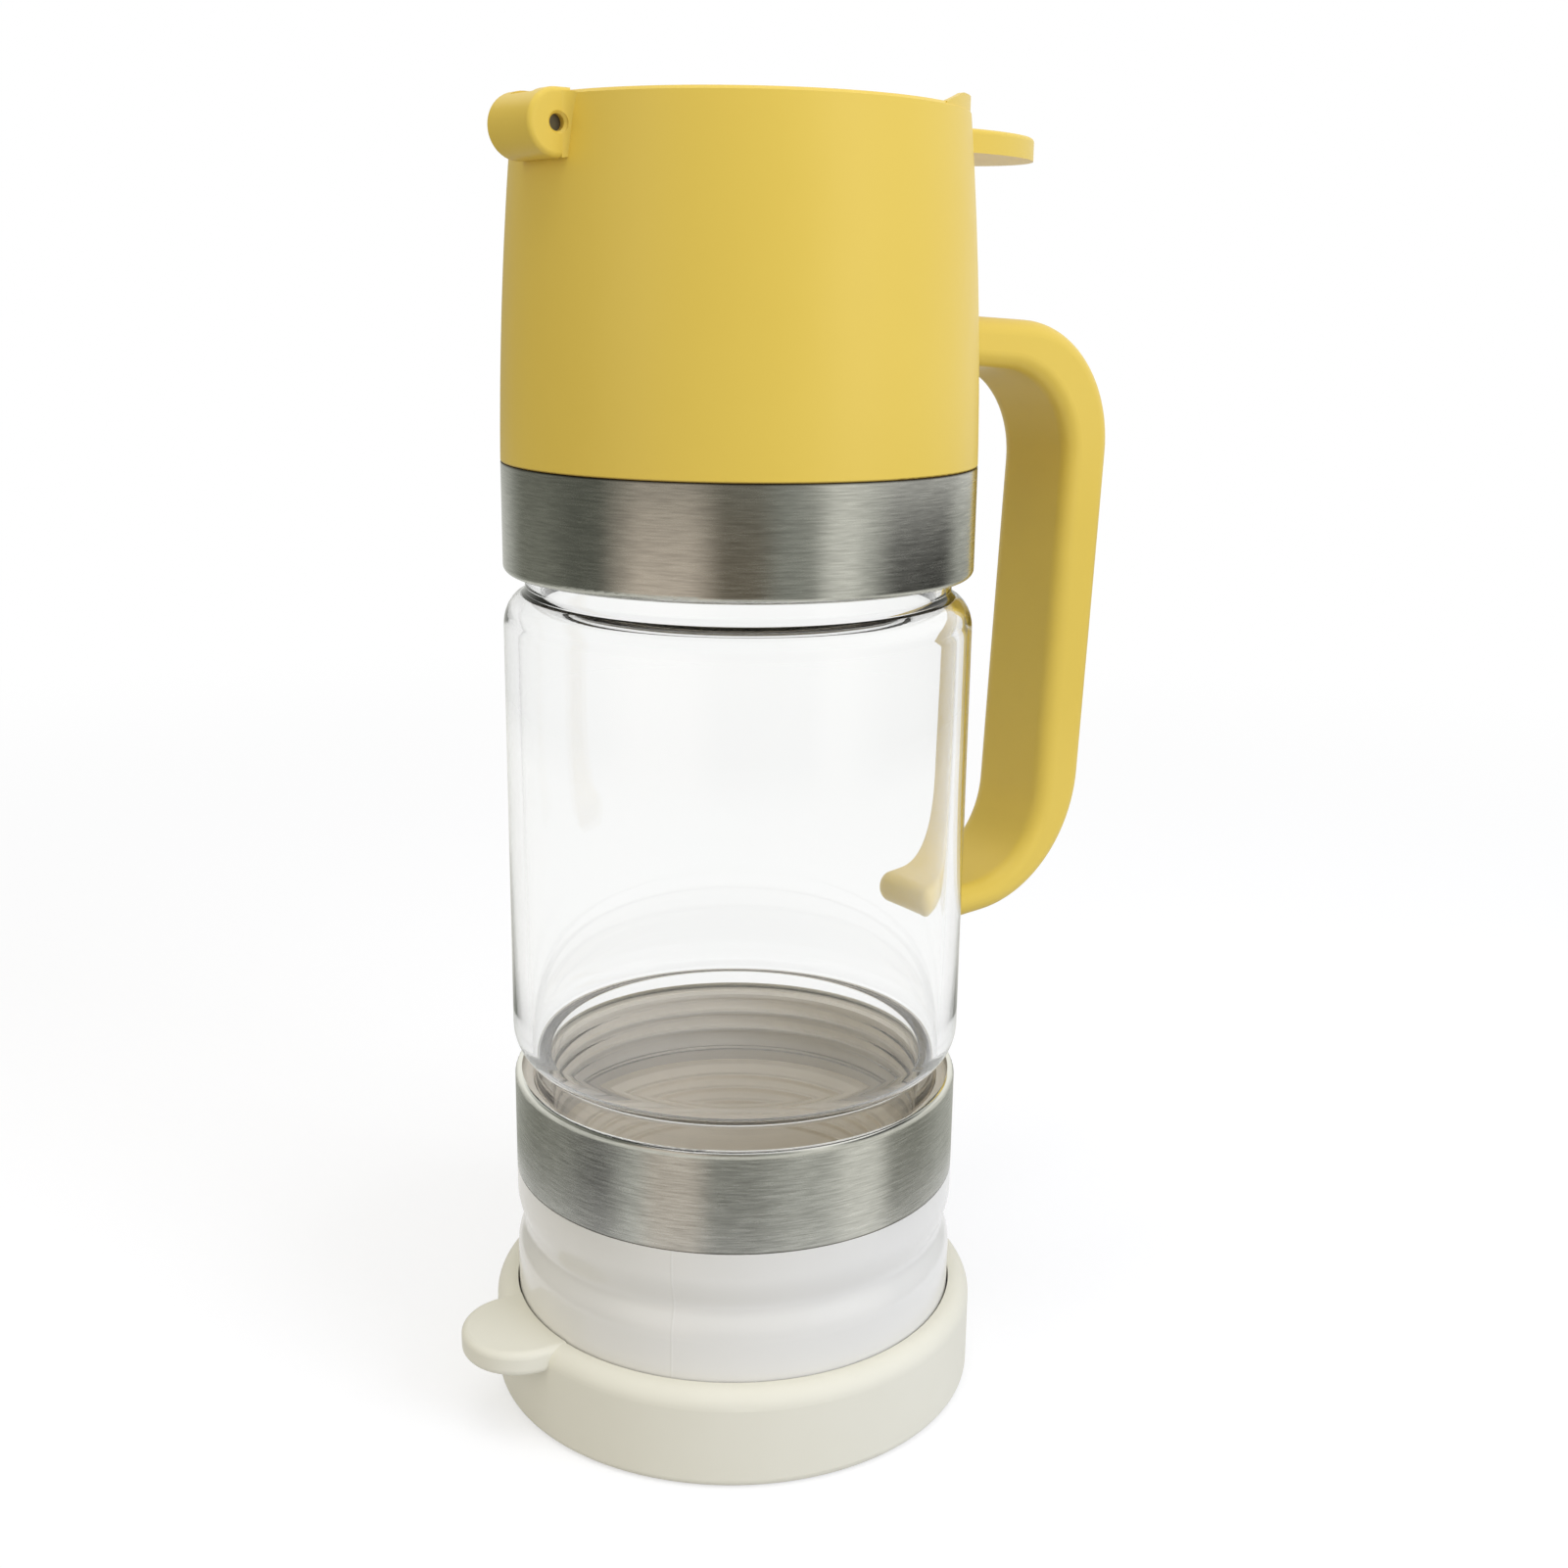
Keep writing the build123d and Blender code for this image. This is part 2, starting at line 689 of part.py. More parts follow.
# Lid: flat disc with a straight hinge side, a thumb tab and a hinge tongue
with BuildPart() as lid:
    with BuildSketch(Plane.XY.offset(lid_bottom)) as lid_outline:
        Circle(lid_radius)
        with Locations((-lid_chord, 0)):
            Rectangle(lid_radius, 2 * lid_radius, align=(Align.MAX, Align.CENTER), mode=Mode.SUBTRACT)
        with Locations((thumb_centre, 0)):
            Ellipse(thumb_length, thumb_half_width)
        lid_corners = lid_outline.vertices().filter_by(lambda corner: abs(corner.Y) > hinge_radius)
        fillet(lid_corners, lid_corner_round)
    extrude(amount=lid_thickness)
    fillet(lid.faces().sort_by(Axis.Z)[-1].edges(), thumb_edge_round)
    with BuildSketch(Plane.XY.offset(lid_bottom)):
        Circle(lid_radius - lid_edge)
        with Locations((-lid_chord + lid_edge, 0)):
            Rectangle(lid_radius, 2 * lid_radius, align=(Align.MAX, Align.CENTER), mode=Mode.SUBTRACT)
    extrude(amount=lid_thickness - lid_plate, mode=Mode.SUBTRACT)
    with BuildSketch(Plane.XZ.offset(-knuckle_length / 2)):
        with Locations((-hinge_offset, pin_height)):
            Circle(knuckle_radius)
        with Locations((-hinge_offset, lid_bottom)):
            Rectangle(hinge_offset - lid_chord + lid_edge / 2, tongue_thickness, align=(Align.MIN, Align.MIN))
    extrude(amount=knuckle_length)
    with BuildSketch(Plane.XZ.offset(-knuckle_length / 2)):
        with Locations((-hinge_offset, pin_height)):
            Circle(pin_radius + press_gap)
    extrude(amount=knuckle_length, mode=Mode.SUBTRACT)
lid.part.label = "lid"
export_step(lid.part, "parts/lid.step")

# Lid liner: white plate in the lid's recess, with a plug ring grooved for the seal
lid_recess_top = lid_top - lid_plate
plug_outer = fill_radius - turn_gap - lid_seal_section / 2
plug_bottom = lid_recess_top - lid_liner_plate - lid_plug_depth
seal_bottom = plug_bottom + lid_seal_section
with BuildPart() as lid_liner:
    with BuildSketch(Plane.XY.offset(lid_recess_top - lid_liner_plate)):
        Circle(lid_radius - lid_edge - press_gap)
        with Locations((-lid_chord + lid_edge + press_gap, 0)):
            Rectangle(lid_radius, 2 * lid_radius, align=(Align.MAX, Align.CENTER), mode=Mode.SUBTRACT)
    extrude(amount=lid_liner_plate)
    with BuildSketch(Plane.XY.offset(plug_bottom)):
        Circle(plug_outer)
        Circle(plug_outer - lid_seal_section / 2 - lid_plug_wall, mode=Mode.SUBTRACT)
    extrude(amount=lid_plug_depth)
    with BuildSketch(Plane.XY.offset(seal_bottom)):
        Circle(plug_outer)
        Circle(plug_outer - lid_seal_section / 2, mode=Mode.SUBTRACT)
    extrude(amount=lid_seal_height, mode=Mode.SUBTRACT)
lid_liner.part.label = "lid_liner"
export_step(lid_liner.part, "parts/lid_liner.step")

# Lid seal: soft ring in the plug's groove
with BuildPart() as lid_seal:
    with BuildSketch(Plane.XY.offset(seal_bottom)):
        Circle(plug_outer + lid_seal_section / 2)
        Circle(plug_outer - lid_seal_section / 2, mode=Mode.SUBTRACT)
    extrude(amount=lid_seal_height)
lid_seal.part.label = "lid_seal"
export_step(lid_seal.part, "parts/lid_seal.step")

# Hinge pin: steel pin pressed through the housing's cheeks, short of both end faces
with BuildPart() as hinge_pin:
    with BuildSketch(Plane.XZ.offset(pin_recess - hinge_length / 2)):
        with Locations((-hinge_offset, pin_height)):
            Circle(pin_radius)
    extrude(amount=hinge_length - 2 * pin_recess)
hinge_pin.part.label = "hinge_pin"
export_step(hinge_pin.part, "parts/hinge_pin.step")
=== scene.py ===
from math import cos, pi, radians, sin, sqrt

import bmesh
import bpy
from mathutils import Matrix, Vector


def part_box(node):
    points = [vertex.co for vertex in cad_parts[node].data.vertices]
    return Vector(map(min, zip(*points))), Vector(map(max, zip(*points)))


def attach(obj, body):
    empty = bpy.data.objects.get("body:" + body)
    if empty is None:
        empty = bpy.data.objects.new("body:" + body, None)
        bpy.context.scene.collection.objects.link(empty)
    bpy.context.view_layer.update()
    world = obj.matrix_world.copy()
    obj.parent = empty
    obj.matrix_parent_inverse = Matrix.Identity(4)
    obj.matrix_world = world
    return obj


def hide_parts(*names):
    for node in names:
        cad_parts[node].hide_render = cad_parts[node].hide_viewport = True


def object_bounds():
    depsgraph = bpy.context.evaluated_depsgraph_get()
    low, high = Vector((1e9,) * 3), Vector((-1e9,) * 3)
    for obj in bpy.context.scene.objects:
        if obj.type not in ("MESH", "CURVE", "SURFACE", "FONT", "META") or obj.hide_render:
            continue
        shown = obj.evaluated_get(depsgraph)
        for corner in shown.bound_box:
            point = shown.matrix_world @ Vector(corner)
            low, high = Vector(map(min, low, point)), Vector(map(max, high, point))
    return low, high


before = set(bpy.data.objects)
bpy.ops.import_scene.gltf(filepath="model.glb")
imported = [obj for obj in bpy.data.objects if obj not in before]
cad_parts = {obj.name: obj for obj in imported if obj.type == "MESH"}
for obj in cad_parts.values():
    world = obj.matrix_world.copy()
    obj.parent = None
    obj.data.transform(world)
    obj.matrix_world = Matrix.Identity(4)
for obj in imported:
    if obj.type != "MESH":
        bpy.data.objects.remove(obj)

cad_low, cad_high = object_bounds()

# Camera: the photograph's viewing angle, a little above the upper band and looking down.
# The handle stands 37 degrees round from the picture's right-hand side.
scene = bpy.context.scene
photo_pixels = 1601
focal_pixels = 1895
sensor_mm = 36.0
nearest_seen = 0.01
handle_turn = radians(37)
camera_distance = 0.317
camera_height = 0.19443
camera_yaw = radians(1.487)
camera_pitch = radians(14.668)
camera_roll = radians(0.808)


def put_in_scene(name, data):
    """A new object with that data, linked to the scene."""
    made = bpy.data.objects.new(name, data)
    scene.collection.objects.link(made)
    return made


camera_data = bpy.data.cameras.new("photo_camera")
camera_data.sensor_width = sensor_mm
camera_data.lens = sensor_mm * focal_pixels / photo_pixels
camera_data.clip_start = nearest_seen
camera = put_in_scene("photo_camera", camera_data)
camera.matrix_world = (
    Matrix.Rotation(-handle_turn, 4, "Z")
    @ Matrix.Translation((0, -camera_distance, camera_height))
    @ Matrix.Rotation(-camera_yaw, 4, "Z")
    @ Matrix.Rotation(pi / 2 - camera_pitch, 4, "X")
    @ Matrix.Rotation(camera_roll, 4, "Z")
)
scene.camera = camera

# Floor and background: a pale floor that keeps the shadow close by and fades into white further out.
# Camera, glossy and transmitted rays see the background white, and all other rays a softer fill.
scene.view_settings.view_transform = "Standard"
white = (1, 1, 1)
black = (0, 0, 0)
floor_grey = (0.5, 0.5, 0.5)
floor_half = 6.0
floor_glow = 0.56
fade_start = 0.22
fade_end = 0.75
fill_strength = 0.56


def link(tree, start, end):
    """A link between two sockets of one node tree."""
    tree.links.new(start, end)


def math_node(tree, operation, first, second=None):
    """The output of one Math node. An operand is a socket or a number."""
    node = tree.nodes.new("ShaderNodeMath")
    node.operation = operation
    for socket, value in zip(node.inputs, (first, second)):
        if isinstance(value, (int, float)):
            socket.default_value = value
        elif value is not None:
            link(tree, value, socket)
    return node.outputs[0]


def span_node(tree, value, from_low, from_high, to_low, to_high, smooth=False):
    """The output of one Map Range node."""
    node = tree.nodes.new("ShaderNodeMapRange")
    if smooth:
        node.interpolation_type = "SMOOTHSTEP"
    link(tree, value, node.inputs["Value"])
    for socket, number in zip(
        ("From Min", "From Max", "To Min", "To Max"), (from_low, from_high, to_low, to_high)
    ):
        node.inputs[socket].default_value = number
    return node.outputs["Result"]


def mix_tones(tree, factor, first, second):
    """The colour between two others. Each of them is a socket or a plain tone."""
    node = tree.nodes.new("ShaderNodeMix")
    node.data_type = "RGBA"
    link(tree, factor, node.inputs["Factor"])
    for socket, tone in (("A", first), ("B", second)):
        if isinstance(tone, tuple):
            node.inputs[socket].default_value = (*tone, 1)
        else:
            link(tree, tone, node.inputs[socket])
    return node.outputs["Result"]


def object_place(tree):
    """The Object coordinates."""
    return tree.nodes.new("ShaderNodeTexCoord").outputs["Object"]


def seen_directly(tree):
    """1 for rays that come straight from the camera, a gloss or clear glass, and 0 for others."""
    path = tree.nodes.new("ShaderNodeLightPath")
    either = math_node(tree, "MAXIMUM", path.outputs["Is Camera Ray"], path.outputs["Is Glossy Ray"])
    return math_node(tree, "MAXIMUM", either, path.outputs["Is Transmission Ray"])


def bare_material(name):
    """A material without a shader yet, its tree and the socket that its surface goes to."""
    material = bpy.data.materials.new(name)
    material.use_nodes = True
    tree = material.node_tree
    tree.nodes.remove(tree.nodes["Principled BSDF"])
    return material, tree, tree.nodes["Material Output"].inputs["Surface"]


world = bpy.data.worlds.new("white_studio")
scene.world = world
world.use_nodes = True
sky = world.node_tree.nodes["Background"]
sky.inputs["Color"].default_value = (*white, 1)
sky_strength = span_node(world.node_tree, seen_directly(world.node_tree), 0, 1, fill_strength, 1)
link(world.node_tree, sky_strength, sky.inputs["Strength"])

floor_mesh = bmesh.new()
bmesh.ops.create_grid(floor_mesh, x_segments=1, y_segments=1, size=floor_half)
floor_data = bpy.data.meshes.new("floor")
floor_mesh.to_mesh(floor_data)
floor_mesh.free()
floor = put_in_scene("floor", floor_data)
pale_floor, tree, surface = bare_material("pale_floor")
floor_distance = tree.nodes.new("ShaderNodeVectorMath")
floor_distance.operation = "LENGTH"
link(tree, object_place(tree), floor_distance.inputs[0])
far_off = span_node(tree, floor_distance.outputs["Value"], fade_start, fade_end, 0, 1, smooth=True)
seen = seen_directly(tree)
floor_fade = math_node(tree, "MULTIPLY", far_off, seen)
floor_diffuse = tree.nodes.new("ShaderNodeBsdfDiffuse")
link(tree, mix_tones(tree, floor_fade, floor_grey, black), floor_diffuse.inputs["Color"])
floor_light = tree.nodes.new("ShaderNodeEmission")
near_and_far = span_node(tree, far_off, 0, 1, floor_glow, 1)
link(tree, math_node(tree, "MULTIPLY", near_and_far, seen), floor_light.inputs["Strength"])
floor_sum = tree.nodes.new("ShaderNodeAddShader")
link(tree, floor_diffuse.outputs[0], floor_sum.inputs[0])
link(tree, floor_light.outputs[0], floor_sum.inputs[1])
link(tree, floor_sum.outputs[0], surface)
floor_data.materials.append(pale_floor)

# Studio light: three large soft lamps that light the object from the right, the left and above.
# Round the object stands a tent of pale and dark cloth panels that only gloss, metal and glass reflect.
camera_side = -pi / 2 - handle_turn
object_middle = (cad_low.z + cad_high.z) / 2
tent_radius = 0.105
tent_height = 0.27
tent_sides = 96
tent_slant = 0.5
pale_cloth = (1.0, 1.0, 0.96)
bright_cloth = (0.84, 0.84, 0.78)
warm_cloth = (0.76, 0.655, 0.555)
beige_cloth = (0.60, 0.52, 0.44)
grey_cloth = (0.45, 0.46, 0.42)
dim_cloth = (0.27, 0.28, 0.25)
charcoal_cloth = (0.22, 0.225, 0.19)
brown_cloth = (0.165, 0.135, 0.095)
dark_cloth = (0.15, 0.155, 0.13)
smoky_cloth = (0.115, 0.12, 0.10)
black_cloth = (0.02, 0.02, 0.018)
# The cloth at each turn in degrees to the camera's right, for the panels from the lowest to the highest
lower_panels = {
    -180: pale_cloth, -140: grey_cloth, -104: charcoal_cloth, -84: charcoal_cloth, -59: black_cloth,
    -42: grey_cloth, -33: beige_cloth, -18: beige_cloth, -9: dark_cloth, 6: dark_cloth,
    27: grey_cloth, 38: grey_cloth, 48: bright_cloth, 62: bright_cloth, 72: charcoal_cloth,
    90: charcoal_cloth, 112: grey_cloth, 126: grey_cloth, 180: pale_cloth,
}
jar_panels = {0: bright_cloth}
upper_panels = {
    -180: pale_cloth, -124: grey_cloth, -112: charcoal_cloth, -90: charcoal_cloth, -74: smoky_cloth,
    -60: smoky_cloth, -42: warm_cloth, -22: warm_cloth, -10: brown_cloth, 3: brown_cloth,
    12: dim_cloth, 24: dim_cloth, 31: bright_cloth, 40: bright_cloth, 48: grey_cloth,
    60: black_cloth, 92: black_cloth, 106: grey_cloth, 148: grey_cloth, 180: pale_cloth,
}
head_panels = {
    -180: pale_cloth, -145: grey_cloth, -105: dark_cloth, -25: dark_cloth,
    10: dim_cloth, 38: bright_cloth, 60: pale_cloth, 180: pale_cloth,
}
# Each row of panels fades into the next one above it
lower_panel_top = 0.036
jar_panel_bottom = 0.048
jar_panel_top = 0.100
upper_panel_bottom = 0.112
upper_panel_top = 0.150
head_panel_bottom = 0.170


def lamp(name, degrees_right, distance, height, width, tall, watts, tint):
    """A soft rectangular lamp that points at the middle of the object."""
    data = bpy.data.lights.new(name, "AREA")
    data.shape = "RECTANGLE"
    data.size = width
    data.size_y = tall
    data.energy = watts
    data.color = tint
    lit = put_in_scene(name, data)
    direction = camera_side + radians(degrees_right)
    lit.location = (distance * cos(direction), distance * sin(direction), height)
    towards = Vector((0, 0, object_middle)) - lit.location
    lit.rotation_euler = towards.to_track_quat("-Z", "Y").to_euler()
    lit.visible_glossy = False
    lit.visible_transmission = False


def split(tree, place):
    """The X, Y and Z of coordinates."""
    node = tree.nodes.new("ShaderNodeSeparateXYZ")
    link(tree, place, node.inputs[0])
    return node.outputs


def cloth_ramp(tree, turn, panels):
    """The cloth that hangs at a turn round the object, where 0 and 1 are behind it."""
    ramp = tree.nodes.new("ShaderNodeValToRGB")
    stops = ramp.color_ramp.elements
    while len(stops) > 1:
        stops.remove(stops[-1])
    for number, (degrees_right, tone) in enumerate(panels.items()):
        position = (degrees_right + 180) / 360
        stop = stops[0] if number == 0 else stops.new(position)
        stop.position = position
        stop.color = (*tone, 1)
    link(tree, turn, ramp.inputs["Fac"])
    return ramp.outputs["Color"]


lamp(
    "right_lamp", degrees_right=52, distance=0.85, height=0.40,
    width=0.45, tall=0.9, watts=3.8, tint=(0.97, 1.02, 1.20),
)
lamp(
    "left_lamp", degrees_right=-50, distance=0.95, height=0.35,
    width=0.40, tall=0.9, watts=1.8, tint=(1.0, 0.91, 0.76),
)
lamp(
    "top_lamp", degrees_right=20, distance=0.12, height=1.05,
    width=0.7, tall=0.7, watts=2.8, tint=white,
)

tent_mesh = bmesh.new()
bmesh.ops.create_circle(tent_mesh, segments=tent_sides, radius=tent_radius)
raised = bmesh.ops.extrude_edge_only(tent_mesh, edges=tent_mesh.edges[:])["geom"]
raised_verts = [item for item in raised if isinstance(item, bmesh.types.BMVert)]
bmesh.ops.translate(tent_mesh, vec=(0, 0, tent_height), verts=raised_verts)
tent_data = bpy.data.meshes.new("studio_tent")
tent_mesh.to_mesh(tent_data)
tent_mesh.free()
tent = put_in_scene("studio_tent", tent_data)
tent.rotation_euler = (0, 0, camera_side)
tent_cloth, tree, surface = bare_material("tent_cloth")
tent_x, tent_y, tent_z = split(tree, object_place(tree))
tent_angle = math_node(tree, "ARCTAN2", tent_y, tent_x)
slanted = math_node(tree, "SUBTRACT", tent_angle, math_node(tree, "MULTIPLY", tent_z, tent_slant))
tent_turn = span_node(tree, slanted, -pi, pi, 0, 1)
cloth = cloth_ramp(tree, tent_turn, lower_panels)
for panels, blend_start, blend_end in (
    (jar_panels, lower_panel_top, jar_panel_bottom),
    (upper_panels, jar_panel_top, upper_panel_bottom),
    (head_panels, upper_panel_top, head_panel_bottom),
):
    takes_over = span_node(tree, tent_z, blend_start, blend_end, 0, 1)
    cloth = mix_tones(tree, takes_over, cloth, cloth_ramp(tree, tent_turn, panels))
# Rays that have passed the glass see white here, so the glass stays clear
tent_path = tree.nodes.new("ShaderNodeLightPath")
passed_glass = math_node(tree, "GREATER_THAN", tent_path.outputs["Transmission Depth"], 0.5)
tent_glow = tree.nodes.new("ShaderNodeEmission")
link(tree, mix_tones(tree, passed_glass, cloth, white), tent_glow.inputs["Color"])
link(tree, tent_glow.outputs[0], surface)
tent_data.materials.append(tent_cloth)
tent.visible_camera = False
tent.visible_diffuse = False
tent.visible_transmission = False
tent.visible_shadow = False

# Base cap: a soft cup of cream silicone, moulded in one piece with its pull tab.
# The dispenser is pushed down into it, and the plug on its floor closes the valve.
mm = 0.001


def finish(name, **values):
    """A material with one Principled shader, and its tree, shader and Object coordinates."""
    material = bpy.data.materials.new(name)
    material.use_nodes = True
    tree = material.node_tree
    shader = tree.nodes["Principled BSDF"]
    for socket, value in values.items():
        shader.inputs[socket.replace("_", " ")].default_value = value
    return material, tree, shader, object_place(tree)


def noise(tree, place, scale, detail=3.0, stretch=(1, 1, 1)):
    """Noise on Object coordinates, stretched along the axes."""
    mapping = tree.nodes.new("ShaderNodeMapping")
    mapping.inputs["Scale"].default_value = stretch
    link(tree, place, mapping.inputs["Vector"])
    texture = tree.nodes.new("ShaderNodeTexNoise")
    texture.inputs["Scale"].default_value = scale
    texture.inputs["Detail"].default_value = detail
    link(tree, mapping.outputs["Vector"], texture.inputs["Vector"])
    return texture.outputs["Fac"]


def mottle(tree, shader, factor, low, high):
    """The base colour drifts between two close tones."""
    link(tree, mix_tones(tree, factor, low, high), shader.inputs["Base Color"])


def drift(tree, shader, factor, low, high):
    """The roughness drifts between two values."""
    link(tree, span_node(tree, factor, 0, 1, low, high), shader.inputs["Roughness"])


def bump(tree, shader, height, strength, distance):
    """Relief from a height between 0 and 1."""
    relief = tree.nodes.new("ShaderNodeBump")
    relief.inputs["Strength"].default_value = strength
    relief.inputs["Distance"].default_value = distance
    link(tree, height, relief.inputs["Height"])
    link(tree, relief.outputs["Normal"], shader.inputs["Normal"])


def dress(material, *named):
    """CAD nodes that keep their meshes and take a material."""
    for node in named:
        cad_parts[node].material_slots[0].material = material


cream_silicone, tree, shader, place = finish("cream_silicone", Specular_IOR_Level=0.35, Sheen_Weight=0.1)
mottle(
    tree, shader, noise(tree, place, scale=60), low=(0.800, 0.775, 0.640), high=(0.840, 0.815, 0.690)
)
drift(tree, shader, noise(tree, place, scale=140), low=0.5, high=0.62)
bump(tree, shader, noise(tree, place, scale=2400, detail=2.0), strength=0.12, distance=0.06 * mm)
dress(cream_silicone, "base_cap")

# Outlet skirt: glossy white plastic, moulded in a tool whose halves leave a fine upright line.
# It snaps over the lower collar and stands in the base cap.
mould_line_azimuth = radians(-142)
mould_line_width = 0.008
white_gloss, tree, shader, place = finish("white_gloss", Specular_IOR_Level=0.5, Coat_Weight=0.15)
mottle(
    tree, shader, noise(tree, place, scale=35), low=(0.780, 0.765, 0.705), high=(0.815, 0.800, 0.745)
)
drift(tree, shader, noise(tree, place, scale=90), low=0.17, high=0.24)
skirt_axes = split(tree, place)
skirt_angle = math_node(tree, "ARCTAN2", skirt_axes["Y"], skirt_axes["X"])
off_line = math_node(tree, "ABSOLUTE", math_node(tree, "SUBTRACT", skirt_angle, mould_line_azimuth))
line_height = span_node(tree, off_line, 0, mould_line_width, 1, 0, smooth=True)
bump(tree, shader, line_height, strength=0.5, distance=0.08 * mm)
dress(white_gloss, "outlet_skirt")

# Outlet funnel: satin food-grade plastic, painted a darker warm tone as painted shade below the jar,
# with soft ribs round the top of its cone.
# Its flange is clamped in the lower collar, and its spout holds the valve.
turn_steps = 160
round_segments = 6
weld_distance = 0.0001 * mm
sharp_angle = radians(35)


def satin_plastic(name, low, high):
    """Satin plastic between two close tones."""
    material, tree, shader, place = finish(name, Specular_IOR_Level=0.45)
    mottle(tree, shader, noise(tree, place, scale=45), low, high)
    drift(tree, shader, noise(tree, place, scale=120), low=0.32, high=0.42)
    return material


def turned(corners):
    """A closed ring turned from corners: the radius, the height and how far the rounding reaches."""
    mesh = bmesh.new()
    section = mesh.faces.new([mesh.verts.new((radius, 0, height)) for radius, height, reach in corners])
    section_verts = list(section.verts)
    for size in sorted({reach for radius, height, reach in corners if reach > 0}):
        rounded = [
            vert for vert, (radius, height, reach) in zip(section_verts, corners) if reach == size
        ]
        bmesh.ops.bevel(
            mesh,
            geom=rounded,
            offset=size,
            segments=round_segments,
            affect="VERTICES",
            profile=0.5,
            material=-1,
        )
    bmesh.ops.delete(mesh, geom=mesh.faces[:], context="FACES_ONLY")
    bmesh.ops.spin(
        mesh,
        geom=mesh.verts[:] + mesh.edges[:],
        cent=(0, 0, 0),
        axis=(0, 0, 1),
        angle=2 * pi,
        steps=turn_steps,
        use_merge=True,
    )
    bmesh.ops.remove_doubles(mesh, verts=mesh.verts[:], dist=weld_distance)
    bmesh.ops.recalc_face_normals(mesh, faces=mesh.faces[:])
    return mesh


def piece(name, mesh, body, slot, material, *replaced):
    """A finished piece from a bmesh: smooth faces, its material, its body and the node it stands for."""
    for face in mesh.faces:
        face.smooth = True
    for edge in mesh.edges:
        edge.smooth = len(edge.link_faces) == 2 and edge.calc_face_angle() < sharp_angle
    data = bpy.data.meshes.new(name)
    mesh.to_mesh(data)
    mesh.free()
    data.materials.append(material)
    made = put_in_scene(name, data)
    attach(made, body)
    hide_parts(*replaced)
    return made


funnel_low, funnel_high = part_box("outlet_funnel")
funnel_flange = 1.4 * mm
funnel_wall = 1.4 * mm
funnel_mouth = 31.4 * mm
funnel_cone = 22.5 * mm
spout_radius = 8.6 * mm
socket_radius = 10.25 * mm
socket_depth = 4.1 * mm
funnel_round = 0.3 * mm
# The ribs' spacing and half width are shares of the cone's slope
funnel_ribs = 4
rib_spacing = 0.085
rib_half_width = 0.022
rib_height = 0.8 * mm
cone_foot = funnel_high.z - funnel_cone
cone_top = Vector((funnel_mouth, funnel_high.z))
cone_slope = Vector((spout_radius, cone_foot)) - cone_top
cone_inward = Vector((cone_slope.y, -cone_slope.x)).normalized()
funnel_corners = [
    (funnel_high.x, funnel_high.z - funnel_flange, funnel_round),
    (funnel_high.x, funnel_high.z, funnel_round),
    (funnel_mouth, funnel_high.z, funnel_round),
]
for rib in range(1, funnel_ribs + 1):
    for side, rise in ((-1, 0), (0, rib_height), (1, 0)):
        share = rib * rib_spacing + side * rib_half_width
        corner = cone_top + share * cone_slope + rise * cone_inward
        funnel_corners.append((corner.x, corner.y, funnel_round))
funnel_corners += [
    (spout_radius, cone_foot, funnel_round),
    (spout_radius, funnel_low.z + socket_depth, 0),
    (socket_radius, funnel_low.z + socket_depth, 0),
    (socket_radius, funnel_low.z, 0),
    (socket_radius + funnel_wall, funnel_low.z, funnel_round),
    (socket_radius + funnel_wall, cone_foot, funnel_round),
    (funnel_mouth, funnel_high.z - funnel_flange, funnel_round),
]
# Painted shade: the funnel's tone is darker and warmer than its white plastic, standing in for the shade
# below the jar and bands
shaded_satin = satin_plastic("shaded_satin", low=(0.730, 0.660, 0.530), high=(0.780, 0.705, 0.580))
piece("funnel", turned(funnel_corners), "outlet_unit", "white_inner", shaded_satin, "outlet_funnel")

# Valve retainer, collars and liners: satin white food-grade plastic, moulded as rings and a plate,
# painted a warm cream tint as painted shade, the beige look of the white plastic in the shade inside the
# neck.
# They show through the glass, and when the lid is open or the cap is off.
shade_tinted_satin = satin_plastic("shade_tinted_satin", low=(0.880, 0.810, 0.680), high=(0.910, 0.840, 0.710))
dress(shade_tinted_satin, "valve_retainer", "lower_collar", "upper_collar", "head_liner", "lid_liner")

# Slit valve, gaskets and lid seal: soft translucent silicone, moulded as flat rings and a disc.
# Each is squeezed between the parts that it seals.
clear_silicone, tree, shader, place = finish("clear_silicone", IOR=1.41, Transmission_Weight=0.35)
mottle(tree, shader, noise(tree, place, scale=80), low=(0.80, 0.75, 0.65), high=(0.85, 0.80, 0.71))
drift(tree, shader, noise(tree, place, scale=160), low=0.35, high=0.5)
dress(clear_silicone, "slit_valve", "lower_gasket", "upper_gasket", "lid_seal")

# Steel bands: thin stainless sheet rolled into sleeves, brushed round the outside by hand.
# Each is pressed over its collar. The lower band's top is rolled over and polished, and its roll is
# painted near white as a painted highlight. The bands' outer ends are painted dark as painted shade.
streak_low = 0.36
streak_high = 0.64
polished_highlit_edge = 0.7 * mm
polished_highlight_tone = (0.95, 0.95, 0.92)
polished_roughness_share = 0.35
edge_shade_height = 0.35 * mm
edge_shade_tone = (0.10, 0.09, 0.07)
lower_low, lower_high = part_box("lower_band")
upper_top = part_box("upper_band")[1].z


def lay_tone(tree, shader, factor, tone):
    """The base colour turns to that tone where the factor is 1."""
    plain = shader.inputs["Base Color"].links[0].from_socket
    link(tree, mix_tones(tree, factor, plain, tone), shader.inputs["Base Color"])


